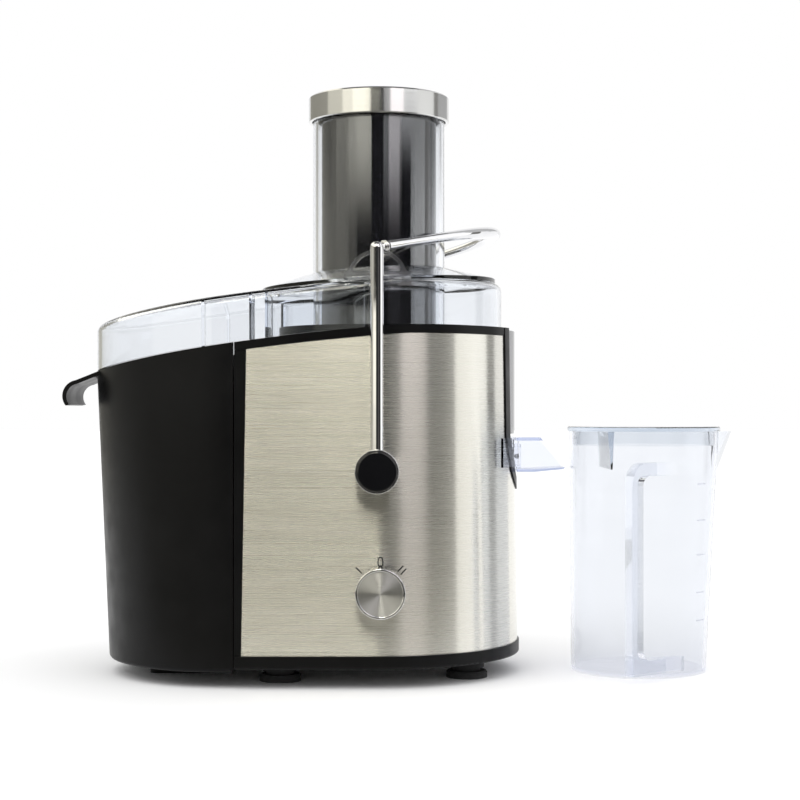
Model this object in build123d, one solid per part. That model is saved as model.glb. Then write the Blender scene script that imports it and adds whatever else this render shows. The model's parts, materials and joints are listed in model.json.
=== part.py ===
from build123d import *
from math import cos, radians, sin, sqrt
import os

# A centrifugal juicer with its juice jug. All sizes are in millimetres.
# X runs from the pulp container towards the juice spout, Y from front to back, Z up.
# The model is drawn about the spin axis (X = 0, Y = 0) and moved by AXIS_X when it is
# written, so that the frame's origin lies on the floor under the middle of the whole set.

AXIS_X = -14.2

# Body
BODY_R_LOW = 90.4
BODY_R_TOP = 88.0
BODY_LEFT = -86.5
FOOT_H = 12.0
BASE_TOP = 20.0
BASE_R = 91.5
RIM_Z = 221.0
RIM_BAND = 5.3
DECK_LOW = 118.0
DECK_TOP = 122.0
WALL = 2.5
CLAD_T = 0.8
CLAD_GAP = 0.1
CLAD_LEFT = -80.5
CLAD_LEAN = 0.9
INSIDE = CLAD_T + CLAD_GAP + WALL
LEDGE = 3.0
DECK_GAP = 0.1

# Cord gland in the back wall
CORD_X = -45.0
CORD_Z = 36.0
CORD_R = 3.6
GLAND_HALF = 6.0

# The rim line slopes down towards the pulp container: flat, then one arc
RIM_FLAT_X = 20.0
RIM_MID = (-80.0, 210.8)
RIM_END = (-183.0, 193.0)

# Spout opening in the right-hand wall: a U with a round bottom
U_HALF = 38.0
U_BAND = 7.0
U_CENTRE_Z = 155.0
PANEL_LOW = 153.5
PANEL_TOP = 219.5

# Juice bowl
BOWL_Z = 131.0
BOWL_R_LOW = 78.0
BOWL_R_TOP = 84.2
BOWL_WALL = 2.4
COLLAR_R = 16.5
COLLAR_TOP = 148.0
OUTLET_HALF = 13.0
OUTLET_TOP = 146.5
OUTLET_END = 92.0

# Clip-on spout, with a saddle that hugs the body
SPOUT_HALF = 17.5
SPOUT_LOW = 128.8
SPOUT_TOP_Z = 151.0
SPOUT_TOP_X = 104.5
SPOUT_TIP_X = 120.3
SPOUT_WALL = 2.0
SADDLE_R = 92.2
SADDLE_T = 1.6
SADDLE_ANGLE = 31.5
SADDLE_LOW = 132.5
SADDLE_TOP = 151.0

# Lid and feed tube
LID_R = 80.0
LID_END_R = 85.3
LID_END_X = -97.7
LID_H = 30.0
LID_WALL = 2.5
LID_LIFT = 0.6
LID_EDGE_R = 6.0
CROWN_R = 76.0
CROWN_Z = 250.5
CROWN_TOP_Z = 259.5
CROWN_TILT = 2.5
ARCH_R = 18.7
ARCH_Z = 248.5
PLINTH_TOP = 253.6
TUBE_R = 43.0
TUBE_WALL = 3.0
TUBE_LOW = 178.0
TUBE_TOP = 362.0

# Pusher
PUSHER_R = 37.5
PUSHER_WALL = 2.5
PUSHER_LOW = 182.0
CAP_R = 45.85
CAP_LOW = 356.0
CAP_TOP = 372.5
CAP_T = 1.2
CAP_WALL = 2.4

# Locking arm
PIVOT_Z = 132.0
ARM_Y = 101.0
ROD_R = 4.0
ROD_TOP = 269.5
NECK_Z = 266.0
LOOP_START = (6.5, 96.0)
LOOP_BEND = (40.0, 70.0)
LOOP_TURN = (67.0, 37.0)
LOOP_X = 76.0
LOOP_RISE = 12.8
PIN_R = 4.0
DISC_R = 13.3
EYE_R = 12.4

# Knob
KNOB_X = 2.0
KNOB_Z = 59.0
KNOB_R = 15.2
KNOB_FACE_R = 13.4
KNOB_BACK = -91.0
KNOB_FRONT = -104.5
SPINDLE_R = 3.0

# Motor
STACK_LOW = 54.0
STACK_TOP = 90.0
STACK_HALF = 31.0
STACK_BORE = 23.0
SHAFT_R = 4.0
ARMATURE_R = 22.3
LOWER_PLATE_Z = 34.0
UPPER_PLATE_Z = 103.0
PLATE_T = 3.0
PLATE_HALF = 38.0
BOLT_AT = 27.0
MOUNT_AT = 32.0
BEARING_R = 11.0
BEARING_T = 7.0

# Filter basket
BASKET_FLOOR = 160.0
BASKET_R_LOW = 48.0
BASKET_R_TOP = 63.5
BASKET_TOP = 219.0
GRATER_R = 45.5

# Pulp container: a half ellipse in plan, deeper at the rim than at the floor
BIN_X = -94.0
BIN_DEPTH = 90.0
BIN_DEPTH_LOW = 81.0
BIN_HALF = 89.0
BIN_HALF_LOW = 87.6
BIN_FORM_TOP = 212.0
BIN_EDGE_R = 2.4
BIN_RIGHT = -87.2
BIN_FLOOR = 9.7
BIN_WALL = 2.5
BIN_SIDE_TOP = 186.0
LIP_HALF = 30.0

# Juice jug
JUG_X = 172.5
JUG_X_LOW = 169.0
JUG_Y = -5.0
JUG_R = 48.5
JUG_R_LOW = 43.5
JUG_H = 155.0
JUG_WALL = 2.2
JUG_LID_T = 3.0

RUNNING = 0.05


def write(name, shape):
    export_step(Pos(AXIS_X, 0, 0) * shape, "parts/" + name + ".step")


def cylinder(radius, z0, z1, x=0.0, y=0.0):
    return Pos(x, y, (z0 + z1) / 2) * Cylinder(radius, z1 - z0)


def ring(outer, inner, z0, z1, x=0.0, y=0.0):
    return cylinder(outer, z0, z1, x, y) - cylinder(inner, z0 - 1, z1 + 1, x, y)


def cylinder_y(radius, y0, y1, x, z):
    return Pos(x, (y0 + y1) / 2, z) * Rot(90, 0, 0) * Cylinder(radius, abs(y1 - y0))


def ring_y(outer, inner, y0, y1, x, z):
    low, high = min(y0, y1), max(y0, y1)
    return cylinder_y(outer, low, high, x, z) - cylinder_y(inner, low - 1, high + 1, x, z)


def block(x0, x1, y0, y1, z0, z1):
    return Pos((x0 + x1) / 2, (y0 + y1) / 2, (z0 + z1) / 2) * Box(x1 - x0, y1 - y0, z1 - z0)


def group(shapes):
    """Separate solids that share one node."""
    return Compound([solid for shape in shapes for solid in shape.solids()])


def sector(outer, inner, start, end, z0, z1):
    """A piece of a ring between two angles, in degrees."""
    middle = (start + end) / 2

    def point(radius, angle):
        return (radius * cos(radians(angle)), radius * sin(radians(angle)))

    edges = [
        ThreePointArc(point(outer, start), point(outer, middle), point(outer, end)),
        Line(point(outer, end), point(inner, end)),
        ThreePointArc(point(inner, end), point(inner, middle), point(inner, start)),
        Line(point(inner, start), point(outer, start)),
    ]
    return Pos(0, 0, z0) * extrude(make_face(edges), z1 - z0)


def d_face(centre, radius, flat):
    """A half round about (centre, 0), carried on by straight sides to a flat end."""
    side = 1 if centre > flat else -1
    edges = [
        ThreePointArc((centre, -radius), (centre + side * radius, 0), (centre, radius)),
        Polyline((centre, radius), (flat, radius), (flat, -radius), (centre, -radius)),
    ]
    return make_face(edges)


def body_radius(z):
    return BODY_R_LOW + (BODY_R_TOP - BODY_R_LOW) * (z - BASE_TOP) / (RIM_Z - BASE_TOP)


def body_block(z0, z1, inset=0.0, left=BODY_LEFT):
    """The body's outer form between two heights, drawn in by inset."""
    low = Pos(0, 0, z0) * d_face(0, body_radius(z0) - inset, left)
    high = Pos(0, 0, z1) * d_face(0, body_radius(z1) - inset, left)
    return loft([low, high], ruled=True)


def under_rim(drop=0.0):
    """Everything below the rim line, lowered by drop, over the whole plan."""
    right, left, end_z = 130.0, -230.0, 184.3
    edges = [
        Line((right, RIM_Z - drop), (RIM_FLAT_X, RIM_Z - drop)),
        ThreePointArc(
            (RIM_FLAT_X, RIM_Z - drop),
            (RIM_MID[0], RIM_MID[1] - drop),
            (RIM_END[0], RIM_END[1] - drop),
        ),
        Polyline(
            (RIM_END[0], RIM_END[1] - drop),
            (left, end_z - drop),
            (left, 0),
            (right, 0),
            (right, RIM_Z - drop),
        ),
    ]
    return extrude(Plane.XZ * make_face(edges), 140, both=True)


def spout_u(half, x0, x1, z_top=240.0):
    """A U-shaped bar along X, open to the top."""
    opening = block(x0, x1, -half, half, U_CENTRE_Z, z_top)
    foot = Pos((x0 + x1) / 2, 0, U_CENTRE_Z) * Rot(0, 90, 0) * Cylinder(half, x1 - x0)
    return opening + foot


SCREW_POINTS = [(-68, -68), (-68, 68), (52, -56), (52, 56)]
FOOT_POINTS = {
    "front_left": (-61, -52),
    "front_right": (56, -38),
    "rear_left": (-61, 52),
    "rear_right": (56, 38),
}


# ---- Base and body ----

def base_cover():
    tray = Pos(0, 0, FOOT_H) * extrude(d_face(0, BASE_R, BODY_LEFT), BASE_TOP - FOOT_H)
    tray = fillet(tray.faces().sort_by(Axis.Z)[0].edges(), 1.5)
    hollow = d_face(0, BASE_R - WALL, BODY_LEFT + WALL)
    tray -= Pos(0, 0, FOOT_H + WALL) * extrude(hollow, BASE_TOP)
    for x, y in SCREW_POINTS:
        tray += cylinder(5.0, FOOT_H + 1, 26, x, y)
        tray -= cylinder(1.7, FOOT_H - 1, 27, x, y)
        tray -= cylinder(3.8, FOOT_H - 1, FOOT_H + 3, x, y)
    for x, y in FOOT_POINTS.values():
        tray -= cylinder(4.0, FOOT_H - 1, BASE_TOP, x, y)
    for i in range(7):
        x = -24 + 8 * i
        tray -= block(x - 1.75, x + 1.75, -22, 22, FOOT_H - 1, BASE_TOP)
    return tray


def foot(x, y):
    lip = cylinder(13.0, 0, 3.4, x, y) + cylinder(12.2, 3.4, 4.4, x, y)
    neck = cylinder(8.6, 4.4, 6.4, x, y) + cylinder(11.0, 6.4, FOOT_H, x, y)
    stud = cylinder(3.9, FOOT_H, FOOT_H + 4, x, y)
    cup = Pos(x, y, 0) * Cone(9.5, 5.0, 2.4)
    return lip + neck + stud - cup


def inner_housing():
    shell_top = RIM_BAND + 0.1
    core = body_block(BASE_TOP, RIM_Z, CLAD_T + CLAD_GAP)
    edge_band = body_block(BASE_TOP, RIM_Z) & lean_cut(-200, CLAD_LEFT - 0.2)
    bay = body_block(BASE_TOP - 1, RIM_Z + 1, INSIDE, BODY_LEFT + WALL)
    shell = (core + edge_band) & under_rim(shell_top)
    shell -= bay
    ledge = body_block(DECK_LOW - LEDGE, DECK_LOW, INSIDE - 0.5, BODY_LEFT + WALL - 0.5)
    ledge -= body_block(DECK_LOW - 2 * LEDGE, DECK_TOP, INSIDE + LEDGE, BODY_LEFT + WALL + LEDGE)
    shell += ledge
    shell -= spout_u(U_HALF, 70, 100)
    for side in (-1, 1):
        shell -= cylinder_y(8.0, side * 70, side * 95, 0, PIVOT_Z)
    shell -= cylinder_y(SPINDLE_R + RUNNING, -95, -80, KNOB_X, KNOB_Z)
    return shell - gland_hole()


def gland_hole():
    half = GLAND_HALF + RUNNING
    return block(CORD_X - half, CORD_X + half, 80, 95, CORD_Z - half, CORD_Z + half)


def motor_deck():
    """The plate over the motor, on the housing's ledge, with four posts for the base screws."""
    deck = body_block(DECK_LOW, DECK_TOP, INSIDE + DECK_GAP, BODY_LEFT + WALL + DECK_GAP)
    deck -= spout_u(U_HALF, 70, 100)
    deck -= cylinder(13.0, DECK_LOW - 1, DECK_TOP + 1)
    for x, y in SCREW_POINTS:
        deck += cylinder(5.0, 26.1, DECK_LOW + 1, x, y) - cylinder(1.5, 26, 48, x, y)
    return deck


def lean_cut(x0, x1):
    """Everything between x0 and x1, its right-hand face leaning like the cladding's edge."""
    return Pos(x1, 0, 118) * Rot(0, CLAD_LEAN, 0) * block(x0 - x1, 0, -120, 120, -130, 130)


def steel_cladding():
    sheet = body_block(BASE_TOP + 0.1, RIM_Z)
    sheet -= body_block(BASE_TOP - 1, RIM_Z + 1, CLAD_T, BODY_LEFT - 20)
    sheet &= under_rim(RIM_BAND)
    sheet -= lean_cut(-200, CLAD_LEFT)
    sheet -= spout_u(U_HALF, 70, 100)
    for side in (-1, 1):
        sheet -= cylinder_y(8.0, side * 80, side * 95, 0, PIVOT_Z)
    sheet -= cylinder_y(5.0, -95, -80, KNOB_X, KNOB_Z)
    return sheet - gland_hole()


def top_rim():
    face = d_face(0, BODY_R_TOP + 0.5, BODY_LEFT) - Circle(BOWL_R_TOP + 0.7)
    band = extrude(face, RIM_Z + 5) & under_rim()
    band -= under_rim(RIM_BAND - 0.1)
    return band - spout_u(U_HALF, 60, 100)


def spout_trim():
    band = spout_u(U_HALF, 78, 96, RIM_Z) - spout_u(U_HALF - U_BAND, 70, 100)
    low, high = 110, 225
    outer = Pos(0, 0, (low + high) / 2) * Cone(body_radius(low) + 0.9, body_radius(high) + 0.9, high - low)
    inner = cylinder(BOWL_R_TOP + 0.6, low - 1, high + 1)
    return (band & outer) - inner


def spout_panel():
    half = U_HALF - U_BAND - 0.4
    low, high = PANEL_LOW, PANEL_TOP
    plate = ring(88.6, 86.4, low, high) & block(70, 100, -half, half, low, high)
    for y in (-16, 16):
        rib = block(80, 86.9, y - 1, y + 1, low + 4, high - 4)
        plate += rib - cylinder(BOWL_R_TOP + 0.2, low, high)
    return plate


def juice_bowl():
    top = RIM_Z - 1.5
    height = top - BOWL_Z
    middle = (BOWL_Z + top) / 2
    bowl = Pos(0, 0, middle) * Cone(BOWL_R_LOW, BOWL_R_TOP, height)
    x0 = BOWL_R_LOW - 6
    bowl += block(x0, OUTLET_END, -OUTLET_HALF, OUTLET_HALF, BOWL_Z, OUTLET_TOP)
    bowl -= Pos(0, 0, middle + BOWL_WALL) * Cone(BOWL_R_LOW - BOWL_WALL, BOWL_R_TOP - BOWL_WALL, height)
    half = OUTLET_HALF - SPOUT_WALL
    bowl -= block(x0 - 2, OUTLET_END + 1, -half, half, BOWL_Z + SPOUT_WALL, OUTLET_TOP - SPOUT_WALL)
    bowl += ring(COLLAR_R, COLLAR_R - 2.2, BOWL_Z, COLLAR_TOP)
    bowl += ring(62, 59.6, DECK_TOP + 0.05, BOWL_Z + 0.5)
    bowl -= cylinder(COLLAR_R - 2.2, BOWL_Z - 2, BOWL_Z + 6)
    bowl &= under_rim(1.5)
    return bowl


def spout():
    """The clip-on spout: a closed channel with a slanted mouth, and a saddle against the body."""
    x0 = SADDLE_R - SADDLE_T
    edges = Polyline(
        (x0 - 2, SPOUT_TOP_Z),
        (SPOUT_TOP_X, SPOUT_TOP_Z),
        (SPOUT_TIP_X, SPOUT_LOW + 3.4),
        (SPOUT_TIP_X - 0.8, SPOUT_LOW + 1.8),
        (SPOUT_TOP_X - 4, SPOUT_LOW),
        (x0 - 2, SPOUT_LOW),
        close=True,
    )
    form = extrude(Plane.XZ * make_face(edges), SPOUT_HALF, both=True)
    inner = Polyline(
        (x0 - 4, SPOUT_TOP_Z - SPOUT_WALL),
        (SPOUT_TOP_X + 8, SPOUT_TOP_Z - SPOUT_WALL),
        (SPOUT_TOP_X + 8, SPOUT_TOP_Z + 2),
        (SPOUT_TIP_X + 9, SPOUT_TOP_Z + 2),
        (SPOUT_TIP_X + 9, SPOUT_LOW + 3.6),
        (SPOUT_TOP_X - 4, SPOUT_LOW + 1.8),
        (x0 - 4, SPOUT_LOW + 1.8),
        close=True,
    )
    half = SPOUT_HALF - SPOUT_WALL
    form -= extrude(Plane.XZ * make_face(inner), half, both=True)
    form -= cylinder(x0, SPOUT_LOW - 2, SPOUT_TOP_Z + 2)
    angle = SADDLE_ANGLE
    saddle = sector(SADDLE_R, x0, -angle, angle, SADDLE_LOW, SADDLE_TOP)
    saddle -= block(80, 100, -half, half, SPOUT_LOW + 1.8, SPOUT_TOP_Z - SPOUT_WALL)
    return form + saddle


def shaft_seal():
    return ring(13.0, SHAFT_R + RUNNING, DECK_LOW, DECK_TOP) + ring(10, SHAFT_R + RUNNING, DECK_TOP, DECK_TOP + 2)


def cord_gland():
    """A square rubber bush in the back wall, for the mains cord."""
    half, rim = GLAND_HALF, GLAND_HALF + 2.5
    gland = block(CORD_X - half, CORD_X + half, 84, 90.6, CORD_Z - half, CORD_Z + half)
    flange = block(CORD_X - rim, CORD_X + rim, 90.4, 93.5, CORD_Z - rim, CORD_Z + rim)
    gland += fillet(flange.edges().filter_by(Axis.Y), 3)
    return gland - cylinder_y(CORD_R, 83, 95, CORD_X, CORD_Z)


def base_screws():
    screws = []
    for x, y in SCREW_POINTS:
        screws.append(cylinder(3.4, FOOT_H + 0.4, FOOT_H + 3, x, y) + cylinder(1.5, FOOT_H + 3, 44, x, y))
    return group(screws)


# ---- Lid and feed tube ----

def lid_face(inset):
    """Two round ends of different radius, joined by the straight lines that touch both."""
    right, left = LID_R - inset, LID_END_R - inset
    lean = (LID_END_R - LID_R) / -LID_END_X
    across = sqrt(1 - lean * lean)
    a = (right * lean, right * across)
    b = (LID_END_X + left * lean, left * across)
    edges = [
        ThreePointArc((a[0], -a[1]), (right, 0), a),
        Line(a, b),
        ThreePointArc(b, (LID_END_X - left, 0), (b[0], -b[1])),
        Line((b[0], -b[1]), (a[0], -a[1])),
    ]
    return make_face(edges)


def crown(inset):
    """The low cone that rises to the feed tube, tipped a little towards the container."""
    past = 5.0
    rise = (CROWN_TOP_Z - CROWN_Z) * (CROWN_R - TUBE_R + past) / (CROWN_R - TUBE_R)
    skirt = 14.0
    cone = Pos(0, 0, rise / 2) * Cone(CROWN_R - inset, TUBE_R - past, rise)
    cone += Pos(0, 0, -skirt / 2) * Cylinder(CROWN_R - inset, skirt)
    return Pos(0, 0, CROWN_Z - inset) * Rot(0, -CROWN_TILT, 0) * cone


def lid_form():
    """The lid's outside as one full solid, down to below the rim."""
    form = Pos(0, 0, 180) * extrude(lid_face(0), 90) & under_rim(-LID_H)
    top = form.faces().filter_by(lambda f: f.normal_at().Z > 0.9).edges()
    return fillet(top, LID_EDGE_R) + crown(0)


def lid():
    shell = lid_form()
    inner = Pos(0, 0, 170) * extrude(lid_face(LID_WALL), 100) & under_rim(-LID_H + LID_WALL)
    inner_top = inner.faces().filter_by(lambda f: f.normal_at().Z > 0.9).edges()
    cavity = fillet(inner_top, LID_EDGE_R - LID_WALL) + crown(LID_WALL)
    shell -= cavity
    webs = sector(78, 76, 96, 150, 195, 262) + sector(78, 76, 210, 264, 195, 262)
    for side in (-1, 1):
        for x, depth in ((-77, 24), (-67.5, 30), (-106, 12)):
            y0, y1 = sorted((side * (84 - depth), side * 84.5))
            webs += block(x - 0.9, x + 0.9, y0, y1, 195, 262)
    shell += webs & cavity
    shell -= under_rim(-LID_LIFT)
    return shell - cylinder(TUBE_R, 170, 300)


def lid_latches():
    """An arch on a low plinth at the front and back of the lid's top."""
    latches = []
    form = lid_form()
    for side in (-1, 1):
        arch = ring_y(ARCH_R, ARCH_R - 2.5, side * 73.6, side * 76.2, 0, ARCH_Z)
        arch &= block(-25, 25, -90, 90, ARCH_Z, 280)
        y0, y1 = sorted((side * 72.6, side * 77.2))
        latches.append(arch + block(-20.5, 20.5, y0, y1, ARCH_Z, PLINTH_TOP) - form)
    return group(latches)


def feed_tube():
    tube = ring(TUBE_R, TUBE_R - TUBE_WALL, TUBE_LOW, TUBE_TOP)
    return fillet(tube.faces().sort_by(Axis.Z)[-1].edges(), 1.2)


# ---- Motor ----

def motor_stator():
    plates = Pos(0, 0, (STACK_LOW + STACK_TOP) / 2) * Box(2 * STACK_HALF, 2 * STACK_HALF, STACK_TOP - STACK_LOW)
    plates = fillet(plates.edges().filter_by(Axis.Z), 5)
    plates -= cylinder(STACK_BORE, STACK_LOW - 1, STACK_TOP + 1)
    for start, end in COIL_LEGS:
        plates -= sector(29.6, STACK_BORE - 1, start - 1, end + 1, STACK_LOW - 1, STACK_TOP + 1)
    for x in (-BOLT_AT, BOLT_AT):
        for y in (-BOLT_AT, BOLT_AT):
            plates -= cylinder(2.0, STACK_LOW - 1, STACK_TOP + 1, x, y)
    return plates


COIL_LEGS = ((44, 60), (120, 136), (224, 240), (300, 316))


def field_coils():
    """Two coils, one round each pole, joined over the ends of the stack."""
    coils = []
    for first, last in ((-60, 60), (120, 240)):
        over = sector(29, 24, first, last, STACK_TOP + 0.2, STACK_TOP + 8)
        under = sector(29, 24, first, last, STACK_LOW - 8, STACK_LOW - 0.2)
        legs = sector(29, 24, first, first + 16, STACK_LOW - 1, STACK_TOP + 1)
        legs += sector(29, 24, last - 16, last, STACK_LOW - 1, STACK_TOP + 1)
        coils.append(over + under + legs)
    return group(coils)


def bracket(z, seat_low, seat_high, half):
    """A windowed square plate with a seat for one ball bearing."""
    plate = Pos(0, 0, z + PLATE_T / 2) * Box(2 * half, 2 * half, PLATE_T)
    plate = fillet(plate.edges().filter_by(Axis.Z), 4)
    for angle in range(0, 360, 90):
        plate -= sector(28, 17, angle + 18, angle + 72, z - 1, z + PLATE_T + 1)
    plate += cylinder(BEARING_R + 2.5, seat_low, seat_high)
    plate -= cylinder(BEARING_R, seat_low - 1, seat_high + 1)
    for x in (-BOLT_AT, BOLT_AT):
        for y in (-BOLT_AT, BOLT_AT):
            plate -= cylinder(2.0, z - 1, z + PLATE_T + 1, x, y)
    return plate


def motor_bolts():
    bolts = []
    for x in (-BOLT_AT, BOLT_AT):
        for y in (-BOLT_AT, BOLT_AT):
            head = cylinder(3.6, LOWER_PLATE_Z - 3, LOWER_PLATE_Z, x, y)
            bolts.append(head + cylinder(2.0, LOWER_PLATE_Z, UPPER_PLATE_Z + PLATE_T + 2.5, x, y))
    return group(bolts)


def stack_spacers():
    """Sleeves on the long bolts that hold the two plates off the laminations."""
    sleeves = []
    for x in (-BOLT_AT, BOLT_AT):
        for y in (-BOLT_AT, BOLT_AT):
            sleeves.append(ring(3.4, 2.0, LOWER_PLATE_Z + PLATE_T, STACK_LOW, x, y))
            sleeves.append(ring(3.4, 2.0, STACK_TOP, UPPER_PLATE_Z, x, y))
    return group(sleeves)


def motor_mounts():
    """Rubber blocks between the upper plate and the deck."""
    mounts = []
    for x, y in ((-MOUNT_AT, 0), (MOUNT_AT, 0), (0, -MOUNT_AT), (0, MOUNT_AT)):
        z0 = UPPER_PLATE_Z + PLATE_T
        body = cylinder(5.5, z0, DECK_LOW, x, y)
        mounts.append(body - ring(6.5, 4.3, (z0 + DECK_LOW) / 2 - 2, (z0 + DECK_LOW) / 2 + 2, x, y))
    return group(mounts)


def bearing(z0):
    race = ring(BEARING_R, SHAFT_R + RUNNING, z0, z0 + BEARING_T)
    for z in (z0 - 0.5, z0 + BEARING_T - 0.3):
        race -= ring(9.2, 5.6, z, z + 0.8)
    return race


def brush_holders():
    holders = []
    for side in (-1, 1):
        y0, y1 = sorted((side * 13, side * 31))
        holder = block(-6, 6, y0, y1, LOWER_PLATE_Z + PLATE_T, 49)
        holders.append(holder - block(-3.1, 3.1, y0 - 1, y1 - 2 * (side > 0) + 3 * (side < 0), 41, 47.2))
    return group(holders)


def carbon_brushes():
    brushes = []
    for side in (-1, 1):
        y0, y1 = sorted((side * 11.1, side * 26))
        brushes.append(block(-3, 3, y0, y1, 41.1, 47.1))
    return group(brushes)


def motor_shaft():
    return cylinder(SHAFT_R, 24, 144)


def armature():
    core = cylinder(ARMATURE_R, STACK_LOW, STACK_TOP)
    for i in range(12):
        core -= Rot(0, 0, 30 * i) * block(16, ARMATURE_R + 1, -1.2, 1.2, STACK_LOW - 1, STACK_TOP + 1)
    core += cylinder(18.0, STACK_LOW - 3.6, STACK_LOW) + cylinder(18.0, STACK_TOP, STACK_TOP + 4.5)
    return core - cylinder(SHAFT_R, STACK_LOW - 10, STACK_TOP + 10)


def commutator():
    bars = ring(11.0, SHAFT_R, 39, 50)
    for i in range(24):
        bars -= Rot(0, 0, 15 * i) * block(9.8, 12, -0.25, 0.25, 38, 49)
    return bars


def cooling_fan():
    disc = cylinder(21.0, 95.2, 96.6) + cylinder(7.0, 95.2, 101.5)
    for i in range(9):
        blade = Pos(14, 0, 98.8) * Rot(0, 0, 25) * Box(12, 1.2, 4.6)
        disc += Rot(0, 0, 40 * i) * blade
    return disc - cylinder(SHAFT_R, 90, 110)


def drive_coupling():
    body = cylinder(11.5, 126, 150)
    tip = Pos(0, 0, 150) * extrude(RegularPolygon(8.5, 6), 8)
    return fillet(body.faces().sort_by(Axis.Z)[0].edges(), 1) + tip - cylinder(SHAFT_R, 125, 144)


# ---- Filter basket ----

def basket_hub():
    hub = cylinder(14.0, 150.6, BASKET_FLOOR) + cylinder(BASKET_R_LOW - 0.8, BASKET_FLOOR, BASKET_FLOOR + 3)
    return hub - Pos(0, 0, 150) * extrude(RegularPolygon(8.6, 6), 8.2)


def grater_disc():
    """A steel disc with rows of small raised teeth in spirals and a middle bolt head."""
    z = BASKET_FLOOR + 3
    disc = cylinder(GRATER_R, z, z + 1.2) + cylinder(6.0, z + 1.2, z + 4)
    for arm in range(8):
        for step in range(5):
            radius = 12 + 7.2 * step
            tooth = Pos(radius, 0, z + 2.0) * Rot(0, 0, 35) * Box(3.2, 0.8, 2.0)
            disc += Rot(0, 0, 45 * arm + 5 * step) * tooth
    return disc


def cone_shell(r0, r1, z0, z1, wall):
    height, middle = z1 - z0, (z0 + z1) / 2
    outer = Pos(0, 0, middle) * Cone(r0, r1, height)
    return outer - Pos(0, 0, middle) * Cone(r0 - wall, r1 - wall, height)


def basket_mesh():
    shell = cone_shell(BASKET_R_LOW, BASKET_R_TOP, BASKET_FLOOR, BASKET_TOP, 0.7)
    return shell


def basket_rim():
    lip = ring(65.0, 61.4, BASKET_TOP - 3, BASKET_TOP + 3)
    return lip - Pos(0, 0, (BASKET_FLOOR + BASKET_TOP) / 2) * Cone(BASKET_R_LOW, BASKET_R_TOP, BASKET_TOP - BASKET_FLOOR)


# ---- Switches and knob ----

def rotary_switch():
    body = block(KNOB_X - 13, KNOB_X + 13, -84, -62, KNOB_Z - 13, KNOB_Z + 13)
    body = fillet(body.edges().filter_by(Axis.Y), 2)
    for i in (-1, 0, 1):
        body += block(KNOB_X + 7 * i - 2, KNOB_X + 7 * i + 2, -62, -55, KNOB_Z - 0.5, KNOB_Z + 0.5)
    return body - cylinder_y(SPINDLE_R + RUNNING, -85, -70, KNOB_X, KNOB_Z)


def interlock_switches():
    """One small snap switch under the deck beside each arm pivot."""
    switches = []
    for side in (-1, 1):
        y0, y1 = sorted((side * 70, side * 80))
        case = block(3, 22, y0, y1, 106, DECK_LOW)
        switches.append(case + block(10, 13, y0 + 3.5, y1 - 3.5, 101, 106))
    return group(switches)


def knob_shell():
    ring_part = ring_y(KNOB_R, KNOB_FACE_R, KNOB_BACK, KNOB_FRONT, KNOB_X, KNOB_Z)
    edge = ring_part.faces().sort_by(Axis.Y)[0].edges()
    ring_part = fillet(edge, 0.7)
    back = ring_y(KNOB_FACE_R + 0.5, SPINDLE_R, KNOB_BACK - 3, KNOB_BACK, KNOB_X, KNOB_Z)
    return ring_part + back


def knob_face():
    face = cylinder_y(KNOB_FACE_R, KNOB_FRONT + 0.6, KNOB_BACK - 3, KNOB_X, KNOB_Z)
    pointer = block(KNOB_X - 2, KNOB_X + 2, KNOB_FRONT, KNOB_FRONT + 1.1, KNOB_Z + 5, KNOB_Z + 20)
    return face - pointer - cylinder_y(SPINDLE_R, -99, -90, KNOB_X, KNOB_Z)


def knob_spindle():
    return cylinder_y(SPINDLE_R, -98.8, -71, KNOB_X, KNOB_Z)


# ---- Locking arm ----

def arm_bush(side):
    sleeve = ring_y(8.0, PIN_R + RUNNING, side * 84, side * 91, 0, PIVOT_Z)
    return sleeve + ring_y(11.0, PIN_R + RUNNING, side * 89.6, side * 91.6, 0, PIVOT_Z)


def arm_pin(side):
    return cylinder_y(PIN_R, side * 81.4, side * 96.5, 0, PIVOT_Z)


def arm_clips():
    clips = []
    for side in (-1, 1):
        clips.append(ring_y(7.0, PIN_R, side * 82.2, side * 83.6, 0, PIVOT_Z))
    return group(clips)


def arm_rod(side):
    eye = cylinder_y(EYE_R, side * 96.5, side * 105, 0, PIVOT_Z)
    rod = cylinder(ROD_R, PIVOT_Z, ROD_TOP, 0, side * ARM_Y)
    rod = fillet(rod.faces().sort_by(Axis.Z)[-1].edges(), 3.5)
    start = Vector(LOOP_START[0], side * LOOP_START[1], NECK_Z + 1.4)
    heading = start - Vector(0, side * ARM_Y, NECK_Z)
    neck = Plane(origin=(0, side * ARM_Y, NECK_Z), z_dir=heading) * Cylinder(
        2.5, heading.length + 1, align=(Align.CENTER, Align.CENTER, Align.MIN)
    )
    return eye + rod + (neck - loop_solid())


def pivot_ring(side):
    band = ring_y(DISC_R, EYE_R, side * 95.5, side * 106.4, 0, PIVOT_Z)
    edge = band.faces().sort_by(Axis.Y)[0 if side < 0 else -1].edges()
    band = fillet(edge, 0.4)
    return band - cylinder(ROD_R, PIVOT_Z, PIVOT_Z + 20, 0, side * ARM_Y)


def pivot_cap(side):
    disc = cylinder_y(EYE_R, side * 105, side * 108, 0, PIVOT_Z)
    face = disc.faces().sort_by(Axis.Y)[0 if side < 0 else -1]
    return fillet(face.edges(), 1.5)


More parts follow.
